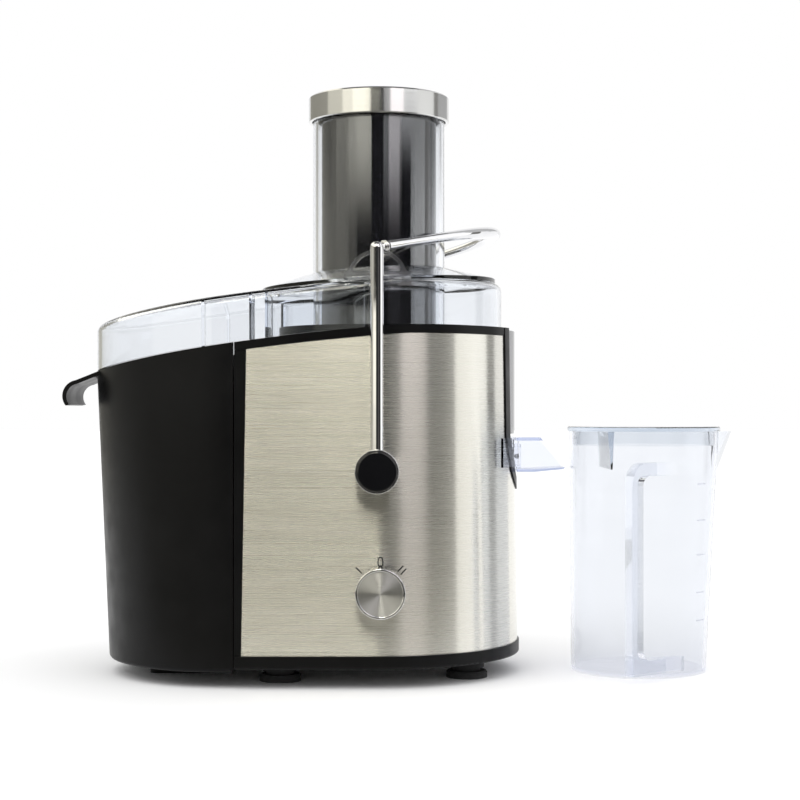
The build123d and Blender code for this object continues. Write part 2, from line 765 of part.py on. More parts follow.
def loop_solid():
    """A half-round grip, flat and thin at its ends and fuller in the middle, rising towards the spout."""
    half = [LOOP_START, LOOP_BEND, LOOP_TURN]
    front = [(x, -y) for x, y in half]
    rear = [(x, y) for x, y in reversed(half)]
    path = Spline(*front, (LOOP_X, 0), *rear)
    widths = ((0.0, 7.0, 6.0), (0.25, 9.0, 6.6), (0.5, 11.0, 8.0), (0.75, 9.0, 6.6), (1.0, 7.0, 6.0))
    sections = []
    for at, wide, high in widths:
        plane = Plane(origin=path @ at, x_dir=(0, 0, 1), z_dir=path % at)
        sections.append(plane * Ellipse(high / 2, wide / 2))
    grip = sweep(sections, path=path, multisection=True)
    for side in (-1, 1):
        grip += Pos(LOOP_START[0], side * LOOP_START[1], 0) * Sphere(3.1)
    return Pos(0, 0, NECK_Z) * Rot(0, -LOOP_RISE, 0) * grip


# ---- Pusher ----

def pusher_body():
    cup = cylinder(PUSHER_R, PUSHER_LOW, CAP_TOP - CAP_T - 2)
    cup = fillet(cup.faces().sort_by(Axis.Z)[0].edges(), 3)
    cup += cylinder(TUBE_R, TUBE_TOP + 0.4, CAP_TOP - CAP_T)
    return cup - cylinder(PUSHER_R - PUSHER_WALL, PUSHER_LOW + PUSHER_WALL, CAP_TOP)


def pusher_cap():
    cap = cylinder(CAP_R, CAP_LOW, CAP_TOP)
    cap = chamfer(cap.faces().sort_by(Axis.Z)[-1].edges(), 1.0)
    cap -= cylinder(CAP_R - CAP_WALL, CAP_LOW - 1, CAP_TOP - CAP_T)
    return fillet(cap.faces().sort_by(Axis.Z)[0].edges(), 0.8)


# ---- Pulp container ----

def bin_face(depth, half, right):
    """A half ellipse that bulges to the left, carried on by straight sides to a flat end."""
    edges = [
        EllipticalCenterArc((BIN_X, 0), depth, half, start_angle=90, arc_size=180),
        Polyline((BIN_X, -half), (right, -half), (right, half), (BIN_X, half)),
    ]
    return make_face(edges)


def bin_form(inset, z0):
    """The container's tapered form, drawn in by inset, from z0 up past its rim."""
    low = bin_face(BIN_DEPTH_LOW - inset, BIN_HALF_LOW - inset, BIN_RIGHT - inset)
    high = bin_face(BIN_DEPTH - inset, BIN_HALF - inset, BIN_RIGHT - inset)
    return loft([Pos(0, 0, z0) * low, Pos(0, 0, BIN_FORM_TOP) * high], ruled=True)


def pulp_container():
    outer = bin_form(0, BIN_FLOOR)
    outer = fillet(outer.faces().sort_by(Axis.Z)[0].edges(), BIN_EDGE_R)
    outer &= under_rim()
    inner = bin_form(BIN_WALL, BIN_FLOOR + BIN_WALL)
    inside_half = BIN_HALF_LOW - BIN_WALL - 1
    side_cut = block(BIN_RIGHT - 4, BIN_RIGHT + 1, -inside_half, inside_half, BIN_SIDE_TOP, 230)
    edges = [
        Line((-176, 194.6), (-193, 187.8)),
        ThreePointArc((-193, 187.8), (-200.9, 181.5), (-199.6, 171.6)),
        Line((-199.6, 171.6), (-197.2, 172.2)),
        ThreePointArc((-197.2, 172.2), (-198.5, 180.2), (-192, 185.5)),
        Polyline((-192, 185.5), (-176, 191.9), (-176, 194.6)),
    ]
    lip = extrude(Plane.XZ * make_face(edges), LIP_HALF, both=True)
    pad = block(-147, -107, -24, 24, 0, BIN_FLOOR + 1)
    pad = fillet(pad.edges().filter_by(Axis.Z), 6)
    return outer + (lip & under_rim()) + pad - inner - side_cut


# ---- Jug ----

def jug_cone(inset, z0):
    """The jug's leaning cone from z0 to its rim, drawn in by inset."""
    share = z0 / JUG_H
    x = JUG_X_LOW + (JUG_X - JUG_X_LOW) * share
    radius = JUG_R_LOW + (JUG_R - JUG_R_LOW) * share
    low = Pos(x, JUG_Y, z0) * Circle(radius - inset)
    high = Pos(JUG_X, JUG_Y, JUG_H) * Circle(JUG_R - inset)
    return loft([low, high], ruled=True)


def beak(inset):
    """The pouring lip: a point at the rim that dies into the wall below it."""
    def triangle(z, x0, half, tip):
        points = Polyline((x0, JUG_Y - half), (tip, JUG_Y), (x0, JUG_Y + half), close=True)
        return Pos(0, 0, z) * make_face(points)

    high = triangle(JUG_H, 210, 15 - inset, 230 - 1.6 * inset)
    low = triangle(122 + 2 * inset, 208, 4 - inset, 217.5 - 1.6 * inset)
    return loft([low, high], ruled=True)


def jug_handle():
    """A flat hoop that stands out from the wall towards the front and a little to the left."""
    out, strap, thick = 40.0, 9.0, 7.0
    top, low = 136.0, 5.0
    plate = block(-6, out, -thick / 2, thick / 2, low, top)
    corner = plate.edges().filter_by(Axis.Y).group_by(Axis.X)[-1].sort_by(Axis.Z)
    plate = fillet(corner[-1], 12)
    window = block(-7, out - strap, -thick, thick, low + 9, top - 8)
    window = fillet(window.edges().filter_by(Axis.Y).group_by(Axis.X)[-1], 6)
    hoop = plate - window
    return Pos(185.5, -47.0, 0) * Rot(0, 0, 219) * hoop


def jug_body():
    cup = jug_cone(0, 0) + beak(0)
    cup += jug_handle() & block(100, 240, -100, 0, 1, 150)
    cavity = jug_cone(JUG_WALL, JUG_WALL)
    cup -= cavity
    return cup - beak(1.6)


def jug_lid():
    plate = cylinder(JUG_R + 0.8, JUG_H + 0.1, JUG_H + JUG_LID_T, JUG_X, JUG_Y)
    plate = fillet(plate.faces().sort_by(Axis.Z)[-1].edges(), 0.8)
    skirt = ring(JUG_R - JUG_WALL - 0.7, JUG_R - JUG_WALL - 2.3, JUG_H - 9, JUG_H + 0.2, JUG_X, JUG_Y)
    half = 34.0
    edges = Polyline((145.6, JUG_H + 0.2), (149.6, JUG_H + 0.2), (148.4, 131), (147.4, 131), close=True)
    blade = Pos(0, JUG_Y, 0) * extrude(Plane.XZ * make_face(edges), half, both=True)
    return plate + skirt + blade


def main():
    os.makedirs("parts", exist_ok=True)
    write("base_cover", base_cover())
    for place, (x, y) in FOOT_POINTS.items():
        write("foot_" + place, foot(x, y))
    write("inner_housing", inner_housing())
    write("motor_deck", motor_deck())
    write("steel_cladding", steel_cladding())
    write("top_rim", top_rim())
    write("spout_trim", spout_trim())
    write("spout_panel", spout_panel())
    write("juice_bowl", juice_bowl())
    write("spout", spout())
    write("shaft_seal", shaft_seal())
    write("cord_gland", cord_gland())
    write("base_screws", base_screws())
    write("lid", lid())
    write("lid_latches", lid_latches())
    write("feed_tube", feed_tube())
    write("motor_stator", motor_stator())
    write("field_coils", field_coils())
    lower_seat = LOWER_PLATE_Z + PLATE_T - BEARING_T
    write("motor_lower_plate", bracket(LOWER_PLATE_Z, lower_seat, LOWER_PLATE_Z + PLATE_T, STACK_HALF + 2))
    write("motor_upper_plate", bracket(UPPER_PLATE_Z, UPPER_PLATE_Z, UPPER_PLATE_Z + BEARING_T, PLATE_HALF))
    write("motor_bolts", motor_bolts())
    write("stack_spacers", stack_spacers())
    write("motor_mounts", motor_mounts())
    write("bearings", group([bearing(lower_seat), bearing(UPPER_PLATE_Z)]))
    write("brush_holders", brush_holders())
    write("carbon_brushes", carbon_brushes())
    write("motor_shaft", motor_shaft())
    write("armature", armature())
    write("commutator", commutator())
    write("cooling_fan", cooling_fan())
    write("drive_coupling", drive_coupling())
    write("basket_hub", basket_hub())
    write("grater_disc", grater_disc())
    write("basket_mesh", basket_mesh())
    write("basket_rim", basket_rim())
    write("rotary_switch", rotary_switch())
    write("interlock_switches", interlock_switches())
    write("knob_shell", knob_shell())
    write("knob_face", knob_face())
    write("knob_spindle", knob_spindle())
    for side, place in ((-1, "front"), (1, "rear")):
        write("arm_bush_" + place, arm_bush(side))
        write("arm_pin_" + place, arm_pin(side))
        write("arm_rod_" + place, arm_rod(side))
        write("pivot_ring_" + place, pivot_ring(side))
        write("pivot_cap_" + place, pivot_cap(side))
    write("arm_loop", loop_solid())
    write("arm_clips", arm_clips())
    write("pusher_body", pusher_body())
    write("pusher_cap", pusher_cap())
    write("pulp_container", pulp_container())
    write("jug_body", jug_body())
    write("jug_lid", jug_lid())


main()
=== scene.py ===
import bpy
import json
import math
import bmesh
from mathutils import Matrix, Vector
from mathutils.bvhtree import BVHTree


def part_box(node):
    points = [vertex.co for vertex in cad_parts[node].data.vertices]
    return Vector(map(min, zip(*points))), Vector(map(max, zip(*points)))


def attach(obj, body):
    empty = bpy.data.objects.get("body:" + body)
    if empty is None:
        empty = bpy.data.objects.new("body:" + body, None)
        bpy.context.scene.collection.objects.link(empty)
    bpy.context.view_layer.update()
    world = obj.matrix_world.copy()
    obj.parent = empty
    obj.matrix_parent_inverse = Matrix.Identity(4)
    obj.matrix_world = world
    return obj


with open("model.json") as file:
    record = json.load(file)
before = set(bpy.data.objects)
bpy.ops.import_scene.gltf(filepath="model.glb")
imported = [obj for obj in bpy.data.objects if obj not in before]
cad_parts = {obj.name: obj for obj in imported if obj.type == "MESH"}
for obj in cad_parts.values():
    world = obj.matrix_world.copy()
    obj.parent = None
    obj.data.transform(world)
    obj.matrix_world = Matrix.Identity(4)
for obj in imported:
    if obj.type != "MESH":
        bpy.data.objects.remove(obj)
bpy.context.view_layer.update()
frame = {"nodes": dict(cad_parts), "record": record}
NODES = frame["nodes"]
MM = 0.001


def middle(node):
    low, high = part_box(node)
    return (low + high) / 2


# The spin axis, the knob and the jug's axis, read from the frame. The jug's beak stands out on the right, so
# its axis is measured from its left edge.
AXIS_X = middle("motor_shaft").x
KNOB = middle("knob_shell")
JUG_RADIUS = 48.5 * MM
JUG_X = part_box("jug_body")[0].x + JUG_RADIUS


# ---- Node helpers ----

class Shader:
    """A material with one Principled shader, and short calls that add nodes to it."""

    def __init__(self, name, **settings):
        self.material = bpy.data.materials.new(name)
        self.material.use_nodes = True
        self.tree = self.material.node_tree
        self.shader = self.tree.nodes["Principled BSDF"]
        for socket, value in settings.items():
            self.shader.inputs[socket.replace("_", " ")].default_value = value

    def add(self, kind, **settings):
        node = self.tree.nodes.new("ShaderNode" + kind)
        for key, value in settings.items():
            setattr(node, key, value)
        return node

    def join(self, out, into):
        self.tree.links.new(out, into)

    def place(self, scale=(1, 1, 1), offset=(0, 0, 0)):
        """A point on the surface in metres, stretched by scale."""
        coordinate = self.add("TexCoord")
        mapping = self.add("Mapping")
        mapping.inputs["Location"].default_value = [-o * s for o, s in zip(offset, scale)]
        mapping.inputs["Scale"].default_value = scale
        self.join(coordinate.outputs["Object"], mapping.inputs["Vector"])
        return mapping.outputs["Vector"]

    def rings(self, centre, axis):
        """The distance from an axis line plus the place along it, so turned marks run round a part."""
        point = self.place(offset=centre)
        parts = self.add("SeparateXYZ")
        self.join(point, parts.inputs["Vector"])
        flat = [parts.outputs[c] for c in "XYZ" if c != axis]
        pair = self.add("CombineXYZ")
        self.join(flat[0], pair.inputs["X"])
        self.join(flat[1], pair.inputs["Y"])
        distance = self.add("VectorMath", operation="LENGTH")
        self.join(pair.outputs["Vector"], distance.inputs[0])
        total = self.math("ADD", distance.outputs["Value"], parts.outputs[axis])
        line = self.add("CombineXYZ")
        self.join(total, line.inputs["X"])
        return line.outputs["Vector"]

    def math(self, operation, a, b=0.0):
        node = self.add("Math", operation=operation)
        for value, socket in ((a, node.inputs[0]), (b, node.inputs[1])):
            if isinstance(value, (int, float)):
                socket.default_value = value
            else:
                self.join(value, socket)
        return node.outputs["Value"]

    def noise(self, vector, scale, detail=3.0, rough=0.5):
        node = self.add("TexNoise")
        node.inputs["Scale"].default_value = scale
        node.inputs["Detail"].default_value = detail
        node.inputs["Roughness"].default_value = rough
        self.join(vector, node.inputs["Vector"])
        return node.outputs["Fac"]

    def spread(self, value, low, high, start=0.3, end=0.7):
        """value taken from start..end to low..high."""
        node = self.add("MapRange", clamp=True)
        self.join(value, node.inputs["Value"])
        node.inputs["From Min"].default_value = start
        node.inputs["From Max"].default_value = end
        node.inputs["To Min"].default_value = low
        node.inputs["To Max"].default_value = high
        return node.outputs["Result"]

    def between(self, factor, first, second):
        """The colour between two colours. Inputs 6 and 7 and output 2 of a Mix node are its colours."""
        mix = self.add("Mix", data_type="RGBA")
        self.join(factor, mix.inputs["Factor"])
        for value, socket in ((first, mix.inputs[6]), (second, mix.inputs[7])):
            if isinstance(value, (tuple, list)):
                socket.default_value = (*value[:3], 1)
            else:
                self.join(value, socket)
        return mix.outputs[2]

    def colour(self, out):
        self.join(out, self.shader.inputs["Base Color"])

    def rough(self, out):
        self.join(out, self.shader.inputs["Roughness"])

    def bump(self, height, distance, strength):
        """Relief as deep as distance in metres, on top of any relief that is already there."""
        node = self.add("Bump")
        node.inputs["Distance"].default_value = distance
        node.inputs["Strength"].default_value = strength
        self.join(height, node.inputs["Height"])
        earlier = self.shader.inputs["Normal"].links
        if earlier:
            self.join(earlier[0].from_socket, node.inputs["Normal"])
        self.join(node.outputs["Normal"], self.shader.inputs["Normal"])

    def round_tangent(self, axis):
        """Marks that run round an axis."""
        node = self.add("Tangent", direction_type="RADIAL", axis=axis)
        self.join(node.outputs["Tangent"], self.shader.inputs["Tangent"])


# ---- Materials ----

def moulded_plastic(name, colour, gloss=(0.3, 0.42)):
    """Satin moulded plastic: a fine spark-eroded grain, faint flow marks and small changes of gloss."""
    m = Shader(name, Specular_IOR_Level=0.16)
    flow = m.noise(m.place(), 14, detail=4)
    lighter = [min(1, c * 1.35 + 0.002) for c in colour]
    m.colour(m.between(m.spread(flow, 0, 1), colour, lighter))
    m.rough(m.spread(m.noise(m.place(), 60, detail=5), *gloss))
    m.bump(m.noise(m.place(), 2600, detail=2), 0.00004, 0.5)
    m.bump(m.noise(m.place(), 30, detail=2), 0.0002, 0.12)
    return m.material


def brushed_sheet(name):
    """Stainless sheet brushed round the body, so reflections stretch upright."""
    m = Shader(name, Metallic=1.0, Anisotropic=1.0, Anisotropic_Rotation=0.25)
    m.round_tangent("Z")
    fine = m.noise(m.place((9, 9, 6500)), 1, detail=3, rough=0.65)
    long = m.noise(m.place((3, 3, 1500)), 1, detail=4, rough=0.6)
    streak = m.math("ADD", m.math("MULTIPLY", fine, 0.6), m.math("MULTIPLY", long, 0.4))
    m.colour(m.between(m.spread(streak, 0, 1), (0.715, 0.7, 0.645), (0.81, 0.795, 0.74)))
    m.rough(m.spread(streak, 0.24, 0.3))
    m.bump(fine, 0.000002, 0.07)
    return m.material


def turned_steel(name, centre, axis, gloss, colour=(0.72, 0.72, 0.715), lines=5200, stretch=0.7):
    """Steel turned round an axis: lines is how fine the marks are, stretch how far they smear light."""
    m = Shader(name, Metallic=1.0, Anisotropic=stretch, Anisotropic_Rotation=0.25)
    m.round_tangent(axis)
    rings = m.rings(centre, axis)
    fine = m.noise(rings, lines, detail=4, rough=0.7)
    broad = m.noise(rings, lines / 9, detail=3)
    darker = [c * 0.8 for c in colour]
    m.colour(m.between(m.spread(fine, 0, 1), darker, colour))
    m.rough(m.spread(m.math("MULTIPLY", m.math("ADD", fine, broad), 0.5), *gloss))
    m.bump(fine, 0.00001, 0.4)
    return m.material


def polished_chrome(name):
    """Bright plating with a faint orange-peel and small changes of gloss."""
    m = Shader(name, Metallic=1.0)
    film = m.noise(m.place(), 45, detail=4)
    m.colour(m.between(m.spread(film, 0, 1), (0.7, 0.7, 0.72), (0.78, 0.78, 0.79)))
    m.rough(m.spread(m.noise(m.place(), 160, detail=5), 0.035, 0.085))
    m.bump(m.noise(m.place(), 220, detail=1), 0.00001, 0.15)
    return m.material


CLEAR = (0.95, 0.96, 0.975)
BLUISH = (0.8, 0.86, 1.0)


def clear_plastic(name, body=CLEAR, ior=1.35, tint=BLUISH, depth=14.0, haze=(0.012, 0.045)):
    """Polished clear plastic with slight waves and a soft haze.

    body colours each surface, and tint the thickness of the wall, as dense as depth. Light on its way to a
    lamp or to a dull surface goes straight through, so that the parts behind are lit.
    """
    m = Shader(name, Transmission_Weight=1.0, IOR=ior, Base_Color=(*body, 1))
    m.rough(m.spread(m.noise(m.place(), 35, detail=4), *haze))
    m.bump(m.noise(m.place(), 26, detail=2), 0.0002, 0.12)
    volume = m.add("VolumeAbsorption")
    volume.inputs["Color"].default_value = (*tint, 1)
    volume.inputs["Density"].default_value = depth
    output = m.tree.nodes["Material Output"]
    m.join(volume.outputs["Volume"], output.inputs["Volume"])
    path = m.add("LightPath")
    through = m.add("BsdfTransparent")
    through.inputs["Color"].default_value = (0.95, 0.95, 0.96, 1)
    mix = m.add("MixShader")
    passing = m.math("MAXIMUM", path.outputs["Is Shadow Ray"], path.outputs["Is Diffuse Ray"])
    m.join(passing, mix.inputs["Fac"])
    m.join(m.shader.outputs["BSDF"], mix.inputs[1])
    m.join(through.outputs["BSDF"], mix.inputs[2])
    m.join(mix.outputs["Shader"], output.inputs["Surface"])
    return m.material


def polished_dark(name, colour, drawn=0.1, ior=1.5):
    """Polished dark plastic with faint upright draw marks, as strong as drawn."""
    m = Shader(name, IOR=ior)
    cloud = m.noise(m.place(), 20, detail=4)
    m.colour(m.between(m.spread(cloud, 0, 1), colour, [c * 1.5 for c in colour]))
    m.rough(m.spread(m.noise(m.place(), 90, detail=5), 0.03, 0.07))
    m.bump(m.noise(m.place((300, 300, 3)), 1, detail=3), 0.00003, drawn)
    return m.material


def rubber(name):
    """Dull black rubber."""
    m = Shader(name, Specular_IOR_Level=0.25)
    wear = m.noise(m.place(), 40, detail=5)
    m.colour(m.between(m.spread(wear, 0, 1), (0.012, 0.012, 0.013), (0.03, 0.03, 0.03)))
    m.rough(m.spread(m.noise(m.place(), 300, detail=4), 0.6, 0.8))
    m.bump(m.noise(m.place(), 1800, detail=3), 0.00005, 0.6)
    return m.material


def ground_steel(name):
    """Plain steel ground along X."""
    m = Shader(name, Metallic=1.0, Anisotropic=0.4)
    lines = m.noise(m.place((900, 60, 60)), 1, detail=4, rough=0.65)
    m.colour(m.between(m.spread(lines, 0, 1), (0.375, 0.375, 0.3825), (0.5, 0.5, 0.51)))
    m.rough(m.spread(lines, 0.24, 0.42))
    m.bump(lines, 0.00001, 0.4)
    return m.material


SIEVE_COLUMNS = 300
SIEVE_PITCH = 1.1 * MM
SIEVE_HOLE = (0.24, 0.32)


def sieve_steel(name):
    """Etched sieve: rows of fine round holes up the cone and round it, coloured near black as painted shade,
    with relief at their edges.

    The holes' soft edges lie between the two shares of the pitch in SIEVE_HOLE.
    """
    m = Shader(name, Metallic=1.0)
    coordinate = m.place(offset=(AXIS_X, 0, 0))
    parts = m.add("SeparateXYZ")
    m.join(coordinate, parts.inputs["Vector"])
    angle = m.math("ARCTAN2", parts.outputs["Y"], parts.outputs["X"])
    column = m.math("MULTIPLY", angle, SIEVE_COLUMNS / (2 * math.pi))
    row = m.math("MULTIPLY", parts.outputs["Z"], 1 / SIEVE_PITCH)
    odd = m.math("MULTIPLY", m.math("MODULO", m.math("FLOOR", row), 2.0), 0.5)
    across = m.math("SUBTRACT", m.math("FRACT", m.math("ADD", column, odd)), 0.5)
    up = m.math("SUBTRACT", m.math("FRACT", row), 0.5)
    square = m.math("ADD", m.math("MULTIPLY", across, across), m.math("MULTIPLY", up, up))
    solid = m.spread(m.math("SQRT", square), 0, 1, *SIEVE_HOLE)
    # Real holes, not cut: their near-black is painted shade for the dark seen through them; the metal between
    # keeps its steel colour
    m.colour(m.between(solid, (0.03, 0.03, 0.03), (0.68, 0.68, 0.69)))
    m.rough(m.spread(m.noise(m.place(), 200, detail=4), 0.2, 0.35))
    m.bump(solid, 0.0001, 0.6)
    return m.material


def laminations(name):
    """Thin plates stacked along Z."""
    m = Shader(name, Metallic=0.8)
    plates = m.add("TexWave", bands_direction="Z")
    plates.inputs["Scale"].default_value = 2000 / (2 * math.pi)
    plates.inputs["Distortion"].default_value = 0.4
    m.join(m.place(), plates.inputs["Vector"])
    m.colour(m.between(plates.outputs["Fac"], (0.12, 0.12, 0.13), (0.3, 0.3, 0.32)))
    m.rough(m.spread(m.noise(m.place(), 150, detail=4), 0.4, 0.6))
    m.bump(plates.outputs["Fac"], 0.00004, 0.6)
    return m.material


def enamelled_copper(name):
    """Windings of copper wire under clear enamel."""
    m = Shader(name, Metallic=0.9)
    wire = m.noise(m.place((300, 300, 3000)), 1, detail=3)
    m.colour(m.between(m.spread(wire, 0, 1), (0.36, 0.12, 0.05), (0.72, 0.32, 0.14)))
    m.rough(m.spread(wire, 0.25, 0.4))
    m.bump(wire, 0.00008, 0.6)
    return m.material


def printed(name, colour):
    """Screen-printed ink with a slightly uneven lay."""
    m = Shader(name, Specular_IOR_Level=0.3)
    lay = m.noise(m.place(), 900, detail=3)
    m.colour(m.between(m.spread(lay, 0, 1), colour, [c * 1.4 + 0.004 for c in colour]))
    m.rough(m.spread(lay, 0.4, 0.55))
    m.bump(lay, 0.00001, 0.3)
    return m.material


BLACK = (0.0014, 0.0014, 0.0017)
SPIN_AXIS = (AXIS_X, 0, 0)
SLOT_MATERIALS = {
    "black_plastic": moulded_plastic("satin_black", BLACK),
    "brushed_cladding": brushed_sheet("brushed_cladding"),
    "cap_steel": turned_steel("cap_steel", SPIN_AXIS, "Z", (0.12, 0.22)),
    "clear_plastic": clear_plastic("clear_plastic"),
    "smoke_plastic": polished_dark("smoked_grey", (0.12, 0.12, 0.125)),
    "dark_gloss": polished_dark("dark_gloss", (0.004, 0.004, 0.0045)),
    "chrome": polished_chrome("chrome"),
    "spun_aluminium": turned_steel("spun_aluminium", KNOB, "Y", (0.3, 0.4), (0.8, 0.8, 0.8), 7000, 0.96),
    "rubber": rubber("rubber"),
    "plain_steel": ground_steel("ground_steel"),
    "fine_steel": sieve_steel("sieve_steel"),
    "laminations": laminations("laminations"),
    "copper": enamelled_copper("enamelled_copper"),
    "carbon": moulded_plastic("carbon", (0.03, 0.03, 0.03), (0.5, 0.7)),
    "pale_plastic": moulded_plastic("pale_plastic", (0.62, 0.62, 0.6), (0.4, 0.55)),
}
NODE_MATERIALS = {
    "pusher_body": polished_dark("pusher_gloss", (0.004, 0.004, 0.005), drawn=0.2, ior=2.2),
    "grater_disc": turned_steel("grater_steel", SPIN_AXIS, "Z", (0.2, 0.34), (0.66, 0.66, 0.67), 1500),
    "lid": clear_plastic("lid_plastic", (0.925, 0.94, 0.96)),
    "lid_latches": clear_plastic("latch_plastic", (0.97, 0.98, 1.0), 1.7, haze=(0.14, 0.26)),
    "juice_bowl": clear_plastic("bowl_plastic", ior=1.2),
    "spout": clear_plastic("spout_plastic", (0.93, 0.94, 0.965), 1.15, (0.62, 0.68, 0.85), 45.0),
    "jug_body": clear_plastic("jug_plastic", (0.893, 0.903, 0.918), 1.2, (0.8, 0.845, 1.0), 26.0),
    "jug_lid": clear_plastic("jug_lid_plastic", (0.92, 0.935, 0.95), 1.25, (0.73, 0.79, 0.87), 16.0),
}


def paint(obj, material):
    """The one material of a node or piece."""
    obj.data.materials.clear()
    obj.data.materials.append(material)


for part in frame["record"]["subparts"]:
    node = part["node"]
    paint(NODES[node], NODE_MATERIALS.get(node, SLOT_MATERIALS[part["material_slot"]]))


# ---- Pieces built here ----

def tree_of(node):
    """A CAD node's surface, ready for rays to be cast on it."""
    mesh = NODES[node].data
    return BVHTree.FromPolygons([v.co for v in mesh.vertices], [p.vertices for p in mesh.polygons])


def new_piece(name, bm, material, body):
    """A finished mesh as a piece of its own, which moves with a body."""
    mesh = bpy.data.meshes.new(name)
    bmesh.ops.recalc_face_normals(bm, faces=bm.faces)
    bm.to_mesh(mesh)
    bm.free()
    obj = bpy.data.objects.new(name, mesh)
    bpy.context.scene.collection.objects.link(obj)
    paint(obj, material)
    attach(obj, body)


INK = printed("dial_ink", (0.012, 0.012, 0.013))
INK_THICK = 0.06 * MM
INK_SINK = 0.03 * MM
RAY_FROM_Y = -200 * MM


def wrapped_stroke(bm, tree, points, width, closed=False):
    """A stroke of ink of one width along points (x, z), laid on the front of the part whose tree is given."""
    rows = []
    count = len(points)
    for i, (x, z) in enumerate(points):
        before = points[(i - 1) % count] if closed or i else points[i]
        after = points[(i + 1) % count] if closed or i < count - 1 else points[i]
        way = Vector((after[0] - before[0], after[1] - before[1])).normalized()
        side = Vector((-way.y, way.x)) * width / 2
        row = []
        for sign in (-1, 1):
            start = Vector((x + sign * side.x, RAY_FROM_Y, z + sign * side.y))
            hit, normal, _, _ = tree.ray_cast(start, Vector((0, 1, 0)))
            normal = normal if normal.y < 0 else -normal
            row.append(bm.verts.new(hit + normal * INK_THICK))
            row.append(bm.verts.new(hit - normal * INK_SINK))
        rows.append(row)
    pairs = list(zip(rows, rows[1:]))
    if closed:
        pairs.append((rows[-1], rows[0]))
    else:
        bm.faces.new([rows[0][k] for k in (0, 1, 3, 2)])
        bm.faces.new([rows[-1][k] for k in (2, 3, 1, 0)])
    for a, b in pairs:
        for k, m in ((0, 1), (1, 3), (3, 2), (2, 0)):
            bm.faces.new((a[k], a[m], b[m], b[k]))


# The dial: a line at one end of the knob's turn, a pair of lines at the other and an oval straight above. The
# lines reach from MARK_IN to MARK_OUT from the knob's centre.
MARK_IN = 16.0 * MM
MARK_OUT = 20.8 * MM
MARK_WIDTH = 0.75 * MM
MARK_STEPS = 6
MARK_TURN = math.radians(45)
ZERO_HALF = (1.45 * MM, 3.0 * MM)
ZERO_UP = 18.0 * MM
ZERO_POINTS = 28
PAIR_GAP = 1.25 * MM


def radial_mark(angle, offset=0.0):
    """Points of a short line that points at the knob's centre, angle from straight up."""
    out = Vector((math.sin(angle), math.cos(angle)))
    side = Vector((out.y, -out.x)) * offset
    reach = [MARK_IN + (MARK_OUT - MARK_IN) * i / MARK_STEPS for i in range(MARK_STEPS + 1)]
    return [(KNOB.x + out.x * r + side.x, KNOB.z + out.y * r + side.y) for r in reach]


def dial_marks():
    """The three signs printed round the knob."""
    cladding = tree_of("steel_cladding")
    turns = [2 * math.pi * i / ZERO_POINTS for i in range(ZERO_POINTS)]
    half_x, half_z = ZERO_HALF
    top = KNOB.z + ZERO_UP
    oval = [(KNOB.x + half_x * math.cos(t), top + half_z * math.sin(t)) for t in turns]
    for name, strokes, closed in (
        ("dial_mark_one", [radial_mark(-MARK_TURN)], False),
        ("dial_mark_zero", [oval], True),
        ("dial_mark_two", [radial_mark(MARK_TURN, -PAIR_GAP), radial_mark(MARK_TURN, PAIR_GAP)], False),
    ):
        bm = bmesh.new()
        for stroke in strokes:
            wrapped_stroke(bm, cladding, stroke, MARK_WIDTH, closed)
        new_piece(name, bm, INK, "body")


JUG_INK = printed("jug_ink", (0.5, 0.52, 0.58))
JUG_MARK_HEIGHTS = (35 * MM, 53 * MM, 77 * MM, 99 * MM, 122 * MM)
JUG_MARK_START = 29.0 * MM
JUG_MARK_LENGTH = 6.0 * MM
JUG_MARK_WIDTH = 0.8 * MM
JUG_MARK_STEPS = 4


def jug_marks():
    """Short level marks printed on the front of the jug, near its pouring side."""
    jug = tree_of("jug_body")
    steps = [i / JUG_MARK_STEPS for i in range(JUG_MARK_STEPS + 1)]
    across = [JUG_X + JUG_MARK_START + JUG_MARK_LENGTH * share for share in steps]
    for i, height in enumerate(JUG_MARK_HEIGHTS):
        bm = bmesh.new()
        wrapped_stroke(bm, jug, [(x, height) for x in across], JUG_MARK_WIDTH)
        new_piece("jug_mark_%d" % (i + 1), bm, JUG_INK, "jug")


TURNED_SIDES = 32


def turned(bm, start, end, profile):
    """A solid turned round the line from start to end. profile holds (share of the line, radius)."""
    way = end - start
    turn = way.to_track_quat("Z", "Y").to_matrix().to_4x4()
    angles = [2 * math.pi * k / TURNED_SIDES for k in range(TURNED_SIDES)]
    rows = []
    for share, radius in profile:
        spot = Matrix.Translation(start + way * share) @ turn
        circle = [Vector((radius * math.cos(a), radius * math.sin(a), 0)) for a in angles]
        rows.append([bm.verts.new(spot @ point) for point in circle])
    for a, b in zip(rows, rows[1:]):
        for k in range(TURNED_SIDES):
            n = (k + 1) % TURNED_SIDES
            bm.faces.new((a[k], a[n], b[n], b[k]))
    bm.faces.new(rows[0])
    bm.faces.new(rows[-1])
    for face in bm.faces:
        face.smooth = len(face.verts) == 4


PIN_X = AXIS_X + 88.6 * MM
PIN_Z = 139.0 * MM
PIN_START = 17.0 * MM
PIN_END = 20.6 * MM
PIN_R = 1.6 * MM
PIN_PROFILE = [(0, PIN_R), (0.8, PIN_R), (0.93, PIN_R - 0.3 * MM), (1, PIN_R - 0.7 * MM)]


def spout_pin(side, name):
    """The black pin that holds one side of the spout's saddle."""
    bm = bmesh.new()
    start = Vector((PIN_X, side * PIN_START, PIN_Z))
    end = Vector((PIN_X, side * PIN_END, PIN_Z))
    turned(bm, start, end, PIN_PROFILE)
    new_piece("spout_pin_" + name, bm, SLOT_MATERIALS["black_plastic"], "body")


